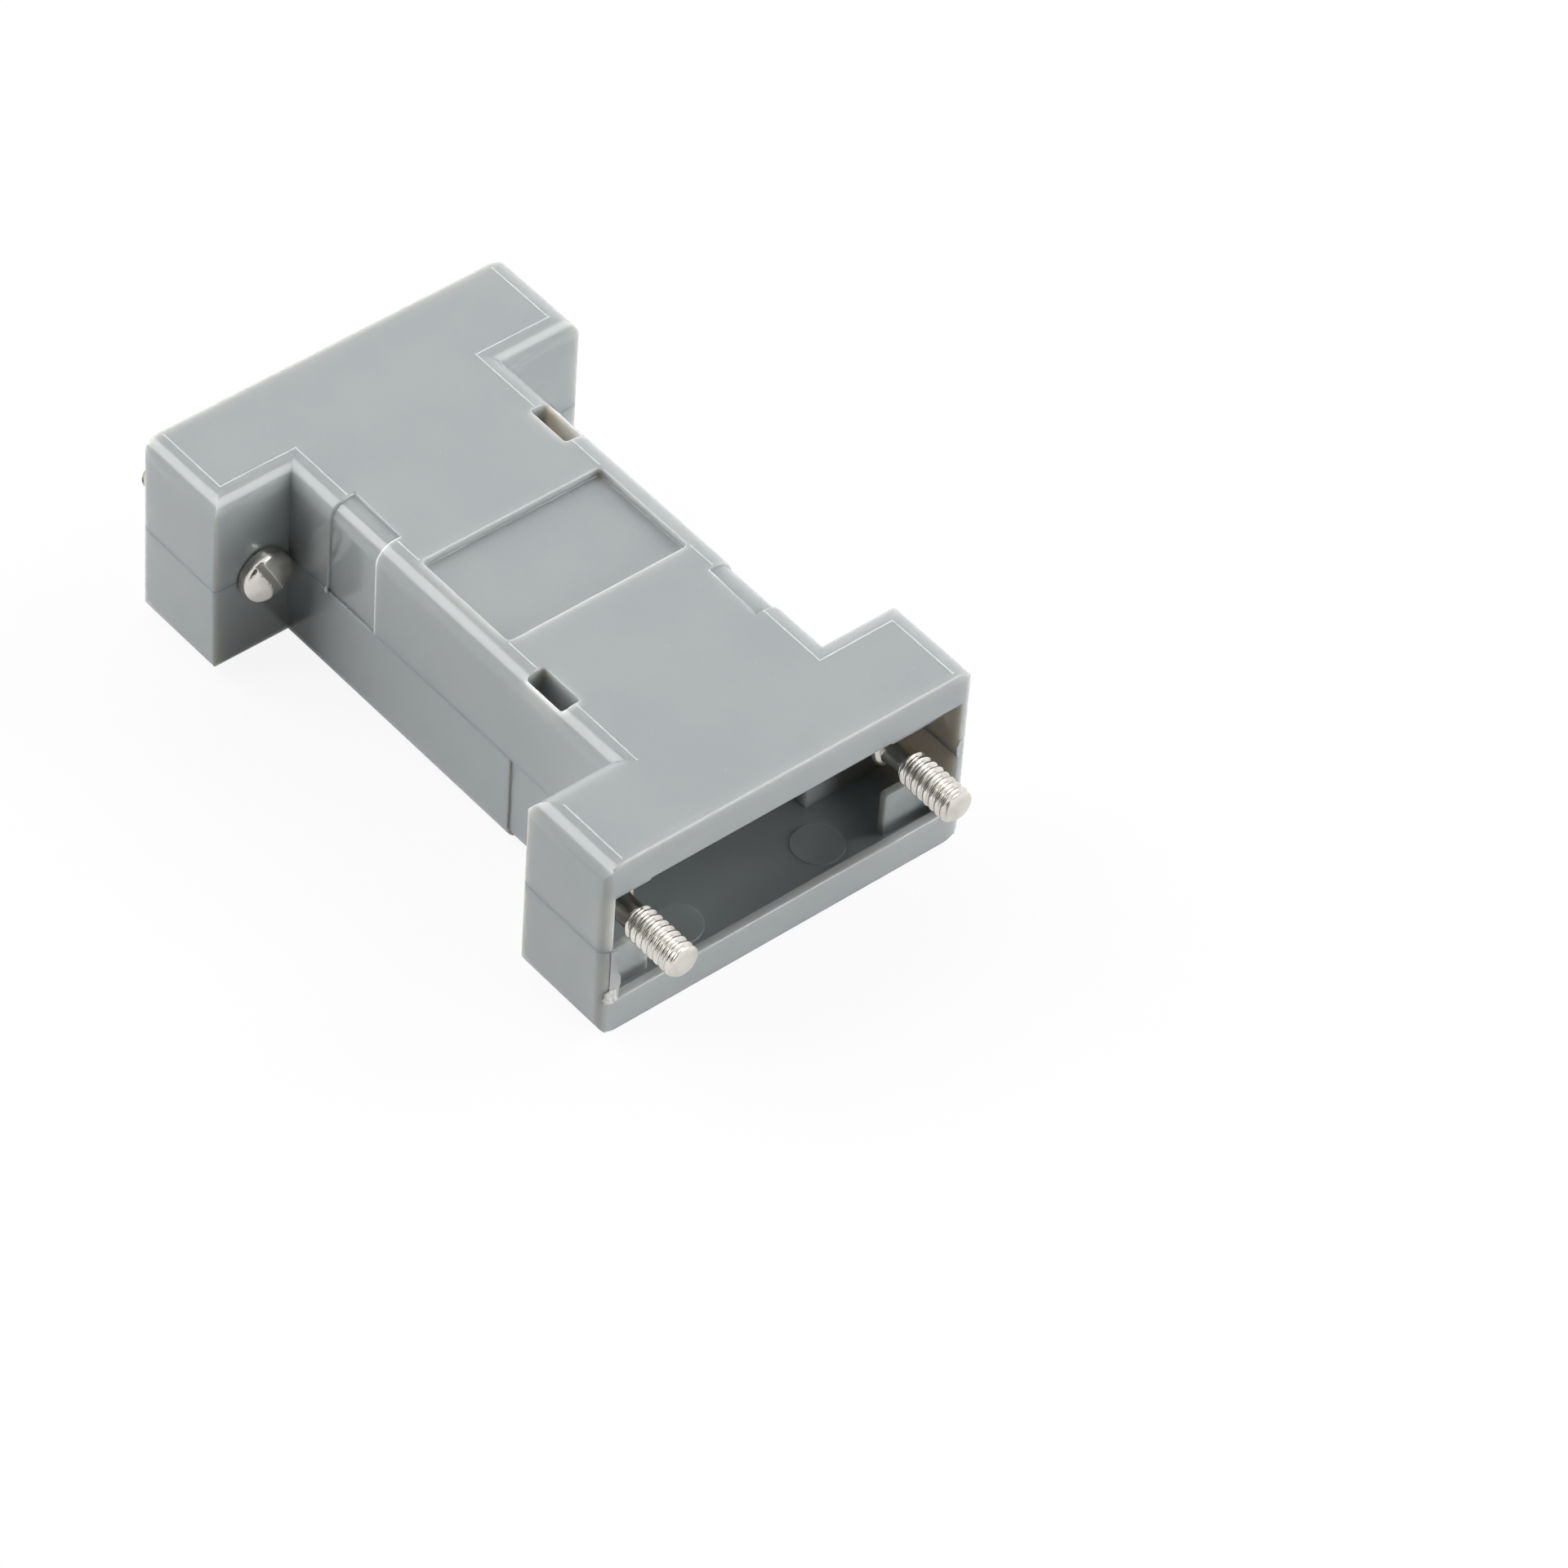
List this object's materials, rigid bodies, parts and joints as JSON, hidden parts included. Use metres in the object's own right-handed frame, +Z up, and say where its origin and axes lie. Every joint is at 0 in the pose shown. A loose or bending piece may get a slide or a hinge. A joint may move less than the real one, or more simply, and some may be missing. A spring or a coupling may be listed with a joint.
{
  "type": "d-sub hood",
  "caption": "Double-ended snap-together hood that holds two D-sub connectors back to back, with captive jackscrews in its corners.",
  "frame": {"origin": "middle of the hood's underside, which is also the bottom centre of the whole part's box", "axes": "+X across the connector ends, +Y along the hood from the front opening to the rear one, +Z up through both shells"},
  "size_m": [0.0334, 0.061, 0.017],
  "materials": {
    "shell_plastic": "satin moulded grey",
    "screw_nickel": "bright nickel plate"
  },
  "bodies": {
    "shell": {"lower_shell": "shell_plastic", "upper_shell": "shell_plastic"},
    "front_left_jackscrew": {"jackscrew_front_left": "screw_nickel"},
    "front_right_jackscrew": {"jackscrew_front_right": "screw_nickel"},
    "rear_left_jackscrew": {"jackscrew_rear_left": "screw_nickel"},
    "rear_right_jackscrew": {"jackscrew_rear_right": "screw_nickel"}
  },
  "joints": [
    {"name": "front_left_slide", "type": "slide", "parent": "shell", "child": "front_left_jackscrew", "axis": [0, 1, 0], "range_m": [0, 0.0031]},
    {"name": "front_right_slide", "type": "slide", "parent": "shell", "child": "front_right_jackscrew", "axis": [0, 1, 0], "range_m": [0, 0.0031]},
    {"name": "rear_left_slide", "type": "slide", "parent": "shell", "child": "rear_left_jackscrew", "axis": [0, -1, 0], "range_m": [0, 0.0031]},
    {"name": "rear_right_slide", "type": "slide", "parent": "shell", "child": "rear_right_jackscrew", "axis": [0, -1, 0], "range_m": [0, 0.0031]}
  ]
}
